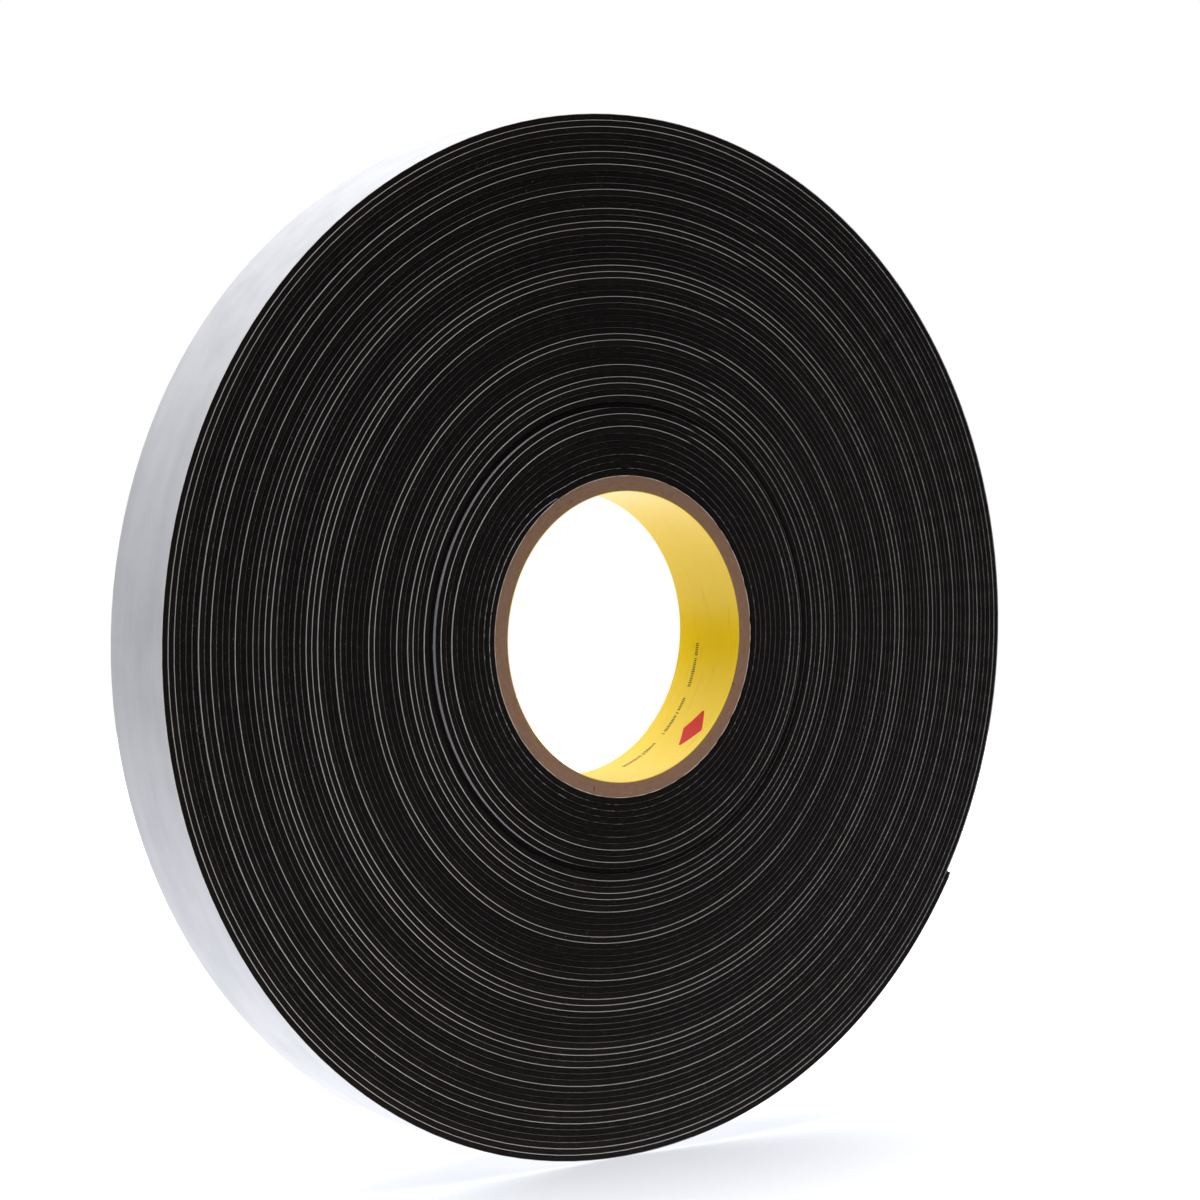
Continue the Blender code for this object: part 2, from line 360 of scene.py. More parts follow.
@dataclass(frozen=True)
class ReleaseLiner:
    """Silicone-coated bleached paper: smooth and faintly satin, cloudy in patches.

    Its cut edge shows bare white fibre. The slitting knife drags black foam over that edge, which it
    hides in places, but the edge stays clean on the turns whose liner stands proud. Round the right of the
    roll more of the edge is smeared dark, which is painted shade.
    """

    colour: str = "c6c6c9"
    cloud: str = "bcbdc0"
    bare: str = "d9d6d2"
    smear: str = "201b19"
    half_width: float = 12.6 * MM
    roughness: float = 0.45

    def make(self) -> bpy.types.Material:
        """Build the material."""
        material, tree, shader = new_material("silicone_coated_release_paper")
        tape = add_node(tree, SEPARATE,
                        add_node(tree, "ShaderNodeAttribute", attribute_name="tape").outputs["Vector"])
        place = add_node(tree, "ShaderNodeTexCoord").outputs["Object"]
        web = add_node(tree, COMBINE,
                       add_node(tree, MATH, tape.outputs["X"], 1 / (60 * MM), operation="MULTIPLY"),
                       add_node(tree, MATH, tape.outputs["Y"], 1 / (5 * MM), operation="MULTIPLY"))
        streaks = add_node(tree, NOISE, web, named={"Scale": 1.0, "Detail": 3.0})
        clouds = add_node(tree, NOISE, place, named={"Scale": 1 / (14 * MM), "Detail": 4.0})
        share = add_node(tree, MAP_RANGE, add_node(tree, MATH, streaks, clouds, operation="MULTIPLY"),
                         0.17, 0.36, 0.0, 1.0)
        base = add_node(tree, MIX, share, data_type="RGBA",
                        named={6: linear(self.colour), 7: linear(self.cloud)})

        beside = add_node(tree, COMBINE,
                          add_node(tree, MATH, tape.outputs["X"], 1 / (1.1 * MM), operation="MULTIPLY"),
                          add_node(tree, MATH, tape.outputs["Z"], 40.0, operation="MULTIPLY"))
        specks = add_node(tree, NOISE, beside, named={"Scale": 1.0, "Detail": 2.0, "Roughness": 0.6})
        # The tape's third value is the edge's bareness, which is lower round the right of the roll as painted
        # shade, so the dark smear below is partly painted shade there.
        lift = add_node(tree, MAP_RANGE, tape.outputs["Z"], 0.0, 1.0, -0.2, 0.32)
        bare = add_node(tree, MATH, specks, lift, operation="ADD")
        smeared = add_node(tree, MAP_RANGE, bare, 0.44, 0.64, 1.0, 0.0)
        from_middle = add_node(tree, MATH, tape.outputs["Y"], operation="ABSOLUTE")
        by_edge = add_node(tree, MAP_RANGE, from_middle, self.half_width - 0.25 * MM,
                           self.half_width - 0.08 * MM, 0.0, 1.0)
        smeared = add_node(tree, MATH, smeared, by_edge, operation="MULTIPLY")
        normal = add_node(tree, "ShaderNodeNewGeometry").outputs["Normal"]
        sideways = add_node(tree, MATH, add_node(tree, SEPARATE, normal).outputs["Y"], operation="ABSOLUTE")
        cut = add_node(tree, MAP_RANGE, sideways, 0.6, 0.8, 0.0, 1.0)
        dust_and_painted_light = add_node(tree, MAP_RANGE, tape.outputs["Z"], 0.25, 0.9, 0.98, 0.1)
        scraped = add_node(tree, MAP_RANGE, specks, 0.54, 0.66, 1.0, 0.4)
        dust_and_painted_light = add_node(tree, MATH, dust_and_painted_light, scraped, operation="MULTIPLY")
        smeared = add_node(tree, MATH, smeared, add_node(tree, MATH, cut, dust_and_painted_light, operation="MULTIPLY"),
                           operation="MAXIMUM")
        fibre = add_node(tree, MIX, by_edge, data_type="RGBA",
                         named={6: base.outputs[2], 7: linear(self.bare)})
        edged = add_node(tree, MIX, smeared, data_type="RGBA",
                         named={6: fibre.outputs[2], 7: linear(self.smear)})
        fibres = add_node(tree, NOISE, place, named={"Scale": 1 / (0.5 * MM), "Detail": 3.0})
        finish_shader(tree, shader, edged, self.roughness, 0.35, fibres, 0.2, 0.03 * MM)
        return material


@dataclass(frozen=True)
class KraftBoard:
    """Recycled paperboard, sawn across its plies: brown, matt, with fibres that follow the plies."""

    name: str
    colour: str
    fibre: str
    ply: float = 0.45 * MM

    def make(self) -> bpy.types.Material:
        """Build the material."""
        material, tree, shader = new_material(self.name)
        place = add_node(tree, "ShaderNodeTexCoord").outputs["Object"]
        split = add_node(tree, SEPARATE, place)
        flat = add_node(tree, COMBINE, split.outputs["X"], split.outputs["Z"], 0.0)
        radius = add_node(tree, VECTOR_MATH, flat, operation="LENGTH").outputs["Value"]
        angle = add_node(tree, MATH, split.outputs["Z"], split.outputs["X"], operation="ARCTAN2")
        turned = add_node(tree, COMBINE,
                          add_node(tree, MATH, angle, 22.0, operation="MULTIPLY"),
                          add_node(tree, MATH, radius, 1 / self.ply, operation="MULTIPLY"),
                          add_node(tree, MATH, split.outputs["Y"], 1 / (2 * MM), operation="MULTIPLY"))
        plies = add_node(tree, NOISE, turned, named={"Scale": 1.0, "Detail": 4.0, "Roughness": 0.65})
        grit = add_node(tree, NOISE, place, named={"Scale": 1 / (0.25 * MM), "Detail": 3.0})
        shade = add_node(tree, MATH, plies, grit, operation="MULTIPLY")
        share = add_node(tree, MAP_RANGE, shade, 0.1, 0.5, 0.0, 1.0)
        base = add_node(tree, MIX, share, data_type="RGBA",
                        named={6: linear(self.colour), 7: linear(self.fibre)})
        height = add_node(tree, MATH, plies, grit, operation="ADD")
        finish_shader(tree, shader, base, 0.92, 0.25, height, 0.35, 0.08 * MM)
        return material


@dataclass(frozen=True)
class PrintedPaper:
    """Paper with a full coat of yellow ink: even and slightly glossy, scuffed where a spindle rubs."""

    colour: str = "e9c900"
    scuff: str = "cb9b00"
    roughness: float = 0.32

    def make(self) -> bpy.types.Material:
        """Build the material."""
        material, tree, shader = new_material("yellow_ink_on_paper")
        place = add_node(tree, "ShaderNodeTexCoord").outputs["Object"]
        drawn = add_node(tree, VECTOR_MATH, place, (90.0, 700.0, 90.0), operation="MULTIPLY")
        rubs = add_node(tree, NOISE, drawn, named={"Scale": 1.0, "Detail": 5.0, "Roughness": 0.7})
        share = add_node(tree, MAP_RANGE, rubs, 0.56, 0.78, 0.0, 0.55)
        base = add_node(tree, MIX, share, data_type="RGBA",
                        named={6: linear(self.colour), 7: linear(self.scuff)})
        fibres = add_node(tree, NOISE, place, named={"Scale": 1 / (0.4 * MM), "Detail": 3.0})
        finish_shader(tree, shader, base, self.roughness, 0.3, fibres, 0.3, 0.03 * MM)
        return material


@dataclass(frozen=True)
class Ink:
    """Flexographic ink on coated paper: flat colour that lies thinner at its edges."""

    name: str
    colour: str
    thin: str

    def make(self) -> bpy.types.Material:
        """Build the material."""
        material, tree, shader = new_material(self.name)
        place = add_node(tree, "ShaderNodeTexCoord").outputs["Object"]
        mottle = add_node(tree, NOISE, place, named={"Scale": 1 / (0.6 * MM), "Detail": 3.0})
        share = add_node(tree, MAP_RANGE, mottle, 0.45, 0.75, 0.0, 0.6)
        base = add_node(tree, MIX, share, data_type="RGBA",
                        named={6: linear(self.colour), 7: linear(self.thin)})
        finish_shader(tree, shader, base, 0.5, 0.2)
        return material


@dataclass(frozen=True)
class AcrylicAdhesive:
    """Clear acrylic pressure-sensitive coat on black foam: wet-looking, with a painted sheen on the crests of
    its ripples.
    """

    coat_colour: str = "24211d"
    painted_sheen: str = "35312b"
    roughness: float = 0.22

    def make(self) -> bpy.types.Material:
        """Build the material."""
        material, tree, shader = new_material("acrylic_adhesive_on_foam")
        place = add_node(tree, "ShaderNodeTexCoord").outputs["Object"]
        ripples = add_node(tree, NOISE, place, named={"Scale": 1 / (1.5 * MM), "Detail": 3.0})
        # Lighter on the crests of the ripples: painted sheen.
        share = add_node(tree, MAP_RANGE, ripples, 0.4, 0.7, 0.0, 1.0)
        base = add_node(tree, MIX, share, data_type="RGBA",
                        named={6: linear(self.coat_colour), 7: linear(self.painted_sheen)})
        finish_shader(tree, shader, base, self.roughness, height=ripples, strength=0.5, depth=0.05 * MM)
        return material


@dataclass(frozen=True)
class PaperDust:
    """Slitting dust: matt grey paper fibre with foam crumbs in it."""

    crumb: str = "4d4845"
    fibre: str = "8f8c8a"

    def make(self) -> bpy.types.Material:
        """Build the material."""
        material, tree, shader = new_material("paper_and_foam_dust")
        place = add_node(tree, "ShaderNodeTexCoord").outputs["Object"]
        mixed = add_node(tree, NOISE, place, named={"Scale": 1 / (3 * MM), "Detail": 1.0})
        share = add_node(tree, MAP_RANGE, mixed, 0.4, 0.6, 0.0, 1.0)
        base = add_node(tree, MIX, share, data_type="RGBA",
                        named={6: linear(self.crumb), 7: linear(self.fibre)})
        finish_shader(tree, shader, base, 0.9)
        return material


@dataclass(frozen=True)
class TissueTape:
    """Double-sided tissue tape: thin milky tissue soaked with adhesive, its fibres just visible."""

    film: str = "cfc9b8"
    fibre: str = "a9a390"

    def make(self) -> bpy.types.Material:
        """Build the material."""
        material, tree, shader = new_material("double_sided_tissue")
        place = add_node(tree, "ShaderNodeTexCoord").outputs["Object"]
        fibres = add_node(tree, NOISE, place, named={"Scale": 1 / (0.8 * MM), "Detail": 5.0})
        base = add_node(tree, MIX, fibres, data_type="RGBA",
                        named={6: linear(self.film), 7: linear(self.fibre)})
        finish_shader(tree, shader, base, 0.35)
        return material


# The core.


class Outline(Enum):
    """How the lengths of a row of printed bars run."""

    EVEN_ROW = 0.0
    LOZENGE = 1.0


@dataclass
class BorePrint:
    """Plain marks on the bore's paper: a row of fine black bars, and a red lozenge of wider ones.

    They stand for printing and spell nothing.
    """

    radius: float
    ink_depth: float = 0.07 * MM
    tree: bpy.types.NodeTree = field(init=False)

    def __post_init__(self) -> None:
        """Build the tree."""
        self.tree = self.build_tree()

    def build_tree(self) -> bpy.types.NodeTree:
        """Build the tree: bars in a straight row, bent round the bore.

        Returns:
            The tree.
        """
        tree, sockets = new_tree("printed_bars", dict.fromkeys((
            "Spacing", "Bar Width", "Bar Length", "Lozenge", "Skipped", "Middle Angle", "Across", "Radius",
            "Depth"), NUMBER) | {"Count": WHOLE, "Seed": WHOLE, "Material": "NodeSocketMaterial"})
        step = add_node(tree, COMBINE, sockets["Spacing"])
        row = add_node(tree, "GeometryNodeMeshLine", sockets["Count"], None, None, step)
        chance = add_node(tree, RANDOM, named={"Seed": sockets["Seed"]}).outputs[1]
        kept = add_node(tree, MATH, chance, sockets["Skipped"], operation="GREATER_THAN")
        size = add_node(tree, COMBINE, sockets["Bar Width"], 1.0, sockets["Depth"])
        bar = add_node(tree, "GeometryNodeMeshCube", size)
        index = add_node(tree, "GeometryNodeInputIndex")
        last = add_node(tree, MATH, sockets["Count"], 1.0, operation="SUBTRACT")
        share = add_node(tree, MATH, index, last, operation="DIVIDE")
        off_middle = add_node(tree, MATH, add_node(tree, MATH, share, 0.5, operation="SUBTRACT"),
                              operation="ABSOLUTE")
        tapered = add_node(tree, MAP_RANGE, off_middle, 0.0, 0.5, 1.0, 0.12)
        uneven = add_node(tree, RANDOM, named={
            2: 0.55, 3: 1.0, "Seed": add_node(tree, MATH, sockets["Seed"], 1.0, operation="ADD")}).outputs[1]
        length = add_node(tree, MIX, sockets["Lozenge"], named={2: uneven, 3: tapered})
        length = add_node(tree, MATH, length, sockets["Bar Length"], operation="MULTIPLY")
        scale = add_node(tree, COMBINE, 1.0, length, 1.0)
        bars = add_node(tree, "GeometryNodeInstanceOnPoints", row, kept, bar, named={"Scale": scale})
        straight = add_node(tree, "GeometryNodeRealizeInstances", bars)
        place = add_node(tree, SEPARATE, add_node(tree, "GeometryNodeInputPosition"))
        half = add_node(tree, MATH, add_node(tree, MATH, last, sockets["Spacing"], operation="MULTIPLY"), 0.5,
                        operation="MULTIPLY")
        along = add_node(tree, MATH, place.outputs["X"], half, operation="SUBTRACT")
        turned = add_node(tree, MATH, along, sockets["Radius"], operation="DIVIDE")
        angle = add_node(tree, MATH, turned, sockets["Middle Angle"], operation="ADD")
        radius = add_node(tree, MATH, sockets["Radius"], place.outputs["Z"], operation="SUBTRACT")
        around, up = (add_node(tree, MATH, add_node(tree, MATH, angle, operation=kind), radius,
                               operation="MULTIPLY") for kind in ("COSINE", "SINE"))
        sideways = add_node(tree, MATH, sockets["Across"], place.outputs["Y"], operation="ADD")
        bent = add_node(tree, "GeometryNodeSetPosition", straight, named={
            "Position": add_node(tree, COMBINE, around, sideways, up)})
        end_tree(tree, bent, sockets["Material"])
        return tree

    def row(self, name: str, ink: bpy.types.Material, outline: Outline, count: int, spacing: float,
            width: float, length: float, skipped: float, middle: float, across: float, seed: int) -> None:
        """Print one row of bars.

        Args:
            name: The piece's name.
            ink: Its material.
            outline: How the bars' lengths run.
            count: How many bars it has.
            spacing: From one bar to the next.
            width: A bar's width.
            length: The longest bar's length.
            skipped: The share of bars that are left out.
            middle: The angle of the row's middle, in degrees.
            across: How far the row lies behind the core's middle.
            seed: The random seed.
        """
        piece = made_by_nodes(name, self.tree, {
            "Count": count, "Spacing": spacing, "Bar Width": width, "Bar Length": length,
            "Lozenge": outline.value, "Skipped": skipped, "Middle Angle": math.radians(middle),
            "Across": across, "Radius": self.radius, "Depth": self.ink_depth, "Seed": seed, "Material": ink})
        finish_piece(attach(piece, Body.ROLL.value), Slot.PRINT)

    def build(self) -> None:
        """Print the rows."""
        black = Ink("black_flexographic_ink", "2b2718", "6b5a12").make()
        red = Ink("red_flexographic_ink", "c61109", "cc2a12").make()
        for number, middle in enumerate((-14.5, -38.0, -62.0)):
            self.row(f"printed_tick_row_{number + 1}", black, Outline.EVEN_ROW, 24, 0.52 * MM, 0.26 * MM,
                     1.5 * MM, 0.14, middle, 4.8 * MM, 3 + number)
        self.row("printed_lozenge", red, Outline.LOZENGE, 32, 0.38 * MM, 0.36 * MM, 7.8 * MM, 0.0, -43.0,
                 -5.6 * MM, 9)


@dataclass
class Core:
    """The spiral-wound paperboard core, ply by ply, with printed marks in its bore."""

    inner_ply: float = 0.18 * MM
    board_plies: int = 4
    board_ply: float = 0.89 * MM
    ply_gap: float = 0.04 * MM
    cover_ply: float = 0.2 * MM
    seam: float = 0.25 * MM
    seam_tilt: float = math.radians(60)
    first_seam: float = math.radians(235)
    seam_step: float = math.radians(137)
    around: int = 300
    across: int = 26
    edge: float = 0.02 * MM
    tear: float = 2.2 * MM

    def ply(self, name: str, inner: float, thickness: float, seam_angle: float,
            material: bpy.types.Material, ragged: float = 0.0) -> bpy.types.Object:
        """Build a ply: a strip wound as a helix, whose two edges nearly meet along a slanting seam.

        Args:
            name: The piece's name.
            inner: Its inner radius.
            thickness: Its thickness.
            seam_angle: The angle of its seam halfway across.
            material: Its material.
            ragged: How far its sawn edges stray, where the saw has torn it.

        Returns:
            The piece.
        """
        low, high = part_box("core_board_ply_1")[0].y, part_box("core_board_ply_1")[1].y
        outer = inner + thickness
        edge = min(self.edge, thickness / 4)
        steps = [low + edge + (high - low - 2 * edge) * step / self.across for step in range(self.across + 1)]
        section = [(inner + edge, low), *((inner, y) for y in steps), (inner + edge, high),
                   (outer - edge, high), *((outer, y) for y in reversed(steps)), (outer - edge, low)]
        gap = self.seam / inner / math.cos(self.seam_tilt)
        mesh = bmesh.new()
        rings = []
        for step in range(self.around + 1):
            ring = []
            for radius, y in section:
                shear = math.tan(self.seam_tilt) * y / inner
                angle = seam_angle + gap / 2 + shear + (math.tau - gap) * step / self.around
                across, up = radius * math.cos(angle), radius * math.sin(angle)
                torn = noise.noise(Vector((across, y, up)) / self.tear) * ragged
                if min(y - low, high - y) < 2 * edge:
                    y -= math.copysign(max(torn, 0.0), y)
                ring.append(mesh.verts.new((across, y, up)))
            rings.append(ring)
        count = len(section)
        for first, second in zip(rings, rings[1:]):
            for index in range(count):
                following = (index + 1) % count
                mesh.faces.new((first[index], first[following], second[following], second[index]))
        mesh.faces.new(rings[0])
        mesh.faces.new(reversed(rings[-1]))
        bmesh.ops.recalc_face_normals(mesh, faces=mesh.faces[:])
        return mesh_piece(name, mesh, material)

    def build(self) -> None:
        """Build and dress every ply."""
        board = KraftBoard("sawn_kraft_paperboard", "7e5e49", "9c7a62").make()
        kraft = KraftBoard("kraft_cover_paper", "cbb8a2", "ebdfd0").make()
        yellow = PrintedPaper().make()
        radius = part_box("core_print_ply")[1].x - self.inner_ply
        piece = self.ply("printed_bore_paper", radius, self.inner_ply, self.first_seam, yellow)
        finish_piece(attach(piece, Body.ROLL.value), Slot.PRINT, "core_print_ply")
        BorePrint(radius).build()
        for index in range(self.board_plies):
            node = f"core_board_ply_{index + 1}"
            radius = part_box(node)[1].x - self.board_ply
            piece = self.ply(f"kraft_board_{index + 1}", radius, self.board_ply + 0.8 * self.ply_gap,
                             self.first_seam + (index + 1) * self.seam_step, board, 0.12 * MM)
            finish_piece(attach(piece, Body.ROLL.value), Slot.BOARD, node)
        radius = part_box("core_cover_ply")[1].x - self.cover_ply
        piece = self.ply("kraft_cover", radius, self.cover_ply,
                         self.first_seam + (self.board_plies + 1) * self.seam_step, kraft, 0.5 * MM)
        finish_piece(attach(piece, Body.ROLL.value), Slot.KRAFT, "core_cover_ply")


# The wound tape.


# Inputs that every tree on the spiral has.
SPIRAL_INPUTS = dict.fromkeys((
    "First Turn", "Last Turn", "Core Radius", "Pitch", "Inner End", "Climb", "Climb Lead", "Settling Turns",
    "Waviness", "Wander", "Proud Turns", "Proud By", "Sunk Turns", "Sunk By", "Swollen By"), NUMBER) | {
        "Swollen Side": "NodeSocketVector", "Material": "NodeSocketMaterial"}


@dataclass(frozen=True)
class Layer:
    """One layer of the tape: the boundary that each of its faces is held from, and its offset from it.

    A boundary of 0 is the turn's inner surface, and 1 is the next turn's.
    """

    thickness: float
    inner_boundary: float
    outer_boundary: float
    inside: float
    outside: float
    least_inside: float
    least_outside: float
    stand_out: float
    corner: float


@dataclass
class Winding:
    """The spiral that all the tape's layers follow, and the tree that winds a stretch of one.

    Foam creeps, so the outer turns have swollen a little towards one side. Ranges such as `loosens` are
    turns, counted from the inner end, and the steps are segments a turn.
    """

    width: float = 25.2 * MM
    pitch: float = 1.615 * MM
    liner: float = 0.085 * MM
    adhesive: float = 0.05 * MM
    gap: float = 0.02 * MM
    start_strip: float = 0.12 * MM
    inner_end: float = math.radians(122.2)
    free_end: float = math.radians(-31.2)
    whole_turns: int = 57
    climb: float = 0.1
    climb_lead: float = 0.012
    settling_turns: float = 8.0
    waviness: float = 0.9 * MM
    wander: float = 0.22 * MM
    proud_turns: float = 10.4
    proud_by: float = 0.35 * MM
    sunk_turns: float = 1.15
    sunk_by: float = 0.7 * MM
    wave_length: float = 60 * MM
    loosens: tuple[float, float] = (2.0, 16.0)
    firms: tuple[float, float] = (45.0, 56.0)
    swells: tuple[float, float] = (12.0, 58.0)
    strip_turns: tuple[float, float] = (0.002, 0.225)
    foam_steps: int = 110
    liner_steps: int = 150
    tail_steps: int = 400
    flap_steps: int = 900
    bend_reach: float = 0.45
    end_slant: float = 1.25 * MM
    swollen_by: float = 1.15 * MM
    swollen_side: tuple[float, float, float] = (math.cos(math.radians(198)), 0.0, math.sin(math.radians(198)))
    clean_turns: tuple[int, ...] = (7, 9, 12, 14, 15, 17, 21, 22, 28, 31, 32, 33, 39, 40, 42, 45, 49, 51,
                                    55, 56, 57)
    tree: bpy.types.NodeTree = field(init=False)
    sockets: dict[str, Any] = field(init=False)

    def __post_init__(self) -> None:
        """Work out the spiral from the frame, and build its tree."""
        self.core_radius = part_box("core_cover_ply")[1].x + self.start_strip + 2 * self.gap
        self.last = self.whole_turns + ((self.free_end - self.inner_end) % math.tau) / math.tau
        under_liner = -self.liner - 1.5 * self.gap
        under_coat = under_liner - self.adhesive
        strip = self.start_strip
        self.foam = Layer(self.pitch + under_coat, 0.0, 1.0, 0.0, under_coat, 0.0, 0.03 * MM, 0.0, 0.28 * MM)
        self.coat = Layer(self.adhesive, 1.0, 1.0, under_coat, under_liner, 0.04 * MM, 0.06 * MM, 0.0, 0.0)
        self.paper = Layer(self.liner, 1.0, 1.0, -self.liner - self.gap, -self.gap, 0.08 * MM, 0.16 * MM,
                           0.075 * MM, 0.0)
        low, high = -strip - self.gap, -self.gap
        self.strip = Layer(strip, 0.0, 0.0, low, high, low, high, 0.0, 0.0)
        self.tree = self.build_tree()

    def turn_level(self, tree: bpy.types.NodeTree, turns: Any, sockets: dict[str, Any]) -> Any:
        """Add nodes for how many pitches out from the core the tape's inner surface is.

        The first turn lies on the core, and each later one climbs over the squashed inner end. That
        step fades until the spiral is even.

        Args:
            tree: The tree.
            turns: The place along the tape, in turns.
            sockets: The tree's inputs.

        Returns:
            The node that gives the level.
        """
        early = add_node(tree, MATH, turns, sockets["Climb Lead"], operation="ADD")
        whole = add_node(tree, MATH, early, operation="FLOOR")
        part = add_node(tree, MATH, early, whole, operation="SUBTRACT")
        short = add_node(tree, MAP_RANGE, part, 0.0, sockets["Climb"], 1.0, 0.0)
        climb = add_node(tree, MATH, add_node(tree, MATH, short, 2.5, operation="POWER"), -1.0,
                         operation="MULTIPLY")
        stepped = add_node(tree, MATH, whole, climb, operation="ADD")
        settled = add_node(tree, MAP_RANGE, turns, 1.0, sockets["Settling Turns"], 0.0, 1.0)
        rest = add_node(tree, MATH, turns, stepped, operation="SUBTRACT")
        eased = add_node(tree, MATH, rest, settled, stepped, operation="MULTIPLY_ADD")
        begun = add_node(tree, MATH, early, 1.0, operation="GREATER_THAN")
        return add_node(tree, MATH, eased, begun, operation="MULTIPLY")

    def turn_by_turn(self, tree: bpy.types.NodeTree, turns: Any, seed: int) -> Any:
        """Add nodes for a random value from 0 to 1 that is steady over a turn and then eases to the next.

        Args:
            tree: The tree.
            turns: The place along the tape, in turns.
            seed: The random seed.

        Returns:
            The node that gives the value.
        """
        whole = add_node(tree, MATH, turns, operation="FLOOR")
        part = add_node(tree, MATH, turns, whole, operation="SUBTRACT")
        after = add_node(tree, MATH, whole, 1.0, operation="ADD")
        now, following, change = (
            add_node(tree, RANDOM, named={"ID": item, "Seed": seed + shift}).outputs[1]
            for item, shift in ((whole, 0), (after, 0), (whole, 1)))
        begins = add_node(tree, MATH, change, 0.75, operation="MULTIPLY")
        ends = add_node(tree, MATH, begins, 0.2, operation="ADD")
        share = add_node(tree, MAP_RANGE, part, begins, ends, 0.0, 1.0, **EASED)
        return add_node(tree, MIX, share, named={2: now, 3: following})

    def edge_bareness_and_shade(self, tree: bpy.types.NodeTree, turns: Any, across: Any, up: Any) -> Any:
        """Add nodes for how bare and how proud the liner's cut edge is, from 0 to 1.

        It is random from turn to turn, and near 1 on the turns that stand clear of their neighbours. It is
        less round the right of the roll, which paints shade on the edges there and makes them stand out less,
        and more at the inner end, where the liner is lifted off the core.

        Args:
            tree: The tree.
            turns: The place along the tape, in turns.
            across: The cosine of the place's angle round the roll.
            up: The sine of that angle.

        Returns:
            The node that gives the value.
        """
        nearest = add_node(tree, MATH, turns, 0.35, operation="SUBTRACT")
        nearest = add_node(tree, MATH, nearest, operation="ROUND")
        listed = 0.0
        for number in self.clean_turns:
            same = add_node(tree, MATH, nearest, float(number), 0.4, operation="COMPARE")
            listed = add_node(tree, MATH, listed, same, operation="ADD")
        chance = add_node(tree, MAP_RANGE, self.turn_by_turn(tree, turns, 23), 0.0, 1.0, 0.0, 0.4)
        bare = add_node(tree, MIX, listed, named={2: chance, 3: 0.9})
        # Less bare round the right of the roll: this darkens the edges there as painted shade.
        side = add_node(tree, MATH, up, 0.15, add_node(tree, MATH, across, -1.0, operation="MULTIPLY"),
                        operation="MULTIPLY_ADD")
        side = add_node(tree, MAP_RANGE, side, -1.0, 0.2, 0.5, 1.0, **EASED)
        bare = add_node(tree, MATH, bare, side, operation="MULTIPLY")
        start = add_node(tree, MAP_RANGE, turns, 0.05, 0.45, 0.8, 0.0)
        return add_node(tree, MATH, bare, start, operation="MAXIMUM")

    def drift(self, tree: bpy.types.NodeTree, turns: Any, direction: Any, flat: Any,
              sockets: dict[str, Any]) -> Any:
        """Add nodes for how far a turn has drifted outwards: slow waves, and the swollen side.

        Args:
            tree: The tree.
            turns: The place along the tape, in turns.
            direction: The unit vector out from the roll's axis.
            flat: The place on the even spiral.
            sockets: The tree's inputs.

        Returns:
            The node that gives the distance.
        """
        wave = add_node(tree, NOISE, flat, named={"Scale": 1 / self.wave_length, "Detail": 0.0})
        wave = add_node(tree, MATH, wave, 0.5, operation="SUBTRACT")
        loose = add_node(tree, MAP_RANGE, turns, *self.loosens, 0.0, sockets["Waviness"], **EASED)
        firm = add_node(tree, MAP_RANGE, turns, *self.firms, 1.0, 0.0, **EASED)
        wave = add_node(tree, MATH, add_node(tree, MATH, wave, loose, operation="MULTIPLY"), firm,
                        operation="MULTIPLY")
        leftward = add_node(tree, VECTOR_MATH, direction, sockets["Swollen Side"], operation="DOT_PRODUCT")
        side = add_node(tree, MAP_RANGE, leftward.outputs["Value"], 0.1, 0.8, 0.0, sockets["Swollen By"],
                        **EASED)
        slack = add_node(tree, MAP_RANGE, turns, *self.swells, 0.0, 1.0)
        return add_node(tree, MATH, side, slack, wave, operation="MULTIPLY_ADD")

    def sideways_shift(self, tree: bpy.types.NodeTree, turns: Any, sockets: dict[str, Any]) -> Any:
        """Add nodes for how far a turn lies behind its neighbours.

        Each turn wanders a little. The first turns stand proud at the front, and the next are sunk.

        Args:
            tree: The tree.
            turns: The place along the tape, in turns.
            sockets: The tree's inputs.

        Returns:
            The node that gives the distance.
        """
        wander = add_node(tree, MATH, self.turn_by_turn(tree, turns, 11), 0.5, operation="SUBTRACT")
        wander = add_node(tree, MATH, wander, sockets["Wander"], operation="MULTIPLY")
        proud = add_node(tree, MAP_RANGE, turns, sockets["Proud Turns"],
                         add_node(tree, MATH, sockets["Proud Turns"], 0.25, operation="ADD"),
                         sockets["Proud By"], 0.0, **EASED)
        sunk_until = add_node(tree, MATH, sockets["Proud Turns"], sockets["Sunk Turns"], operation="ADD")
        sunk = add_node(tree, MAP_RANGE, turns, sunk_until,
                        add_node(tree, MATH, sunk_until, 0.25, operation="ADD"),
                        sockets["Sunk By"], 0.0, **EASED)
        past = add_node(tree, MAP_RANGE, turns, sockets["Proud Turns"],
                        add_node(tree, MATH, sockets["Proud Turns"], 0.25, operation="ADD"), 0.0, 1.0,
                        **EASED)
        shift = add_node(tree, MATH, wander, proud, operation="SUBTRACT")
        return add_node(tree, MATH, sunk, past, shift, operation="MULTIPLY_ADD")

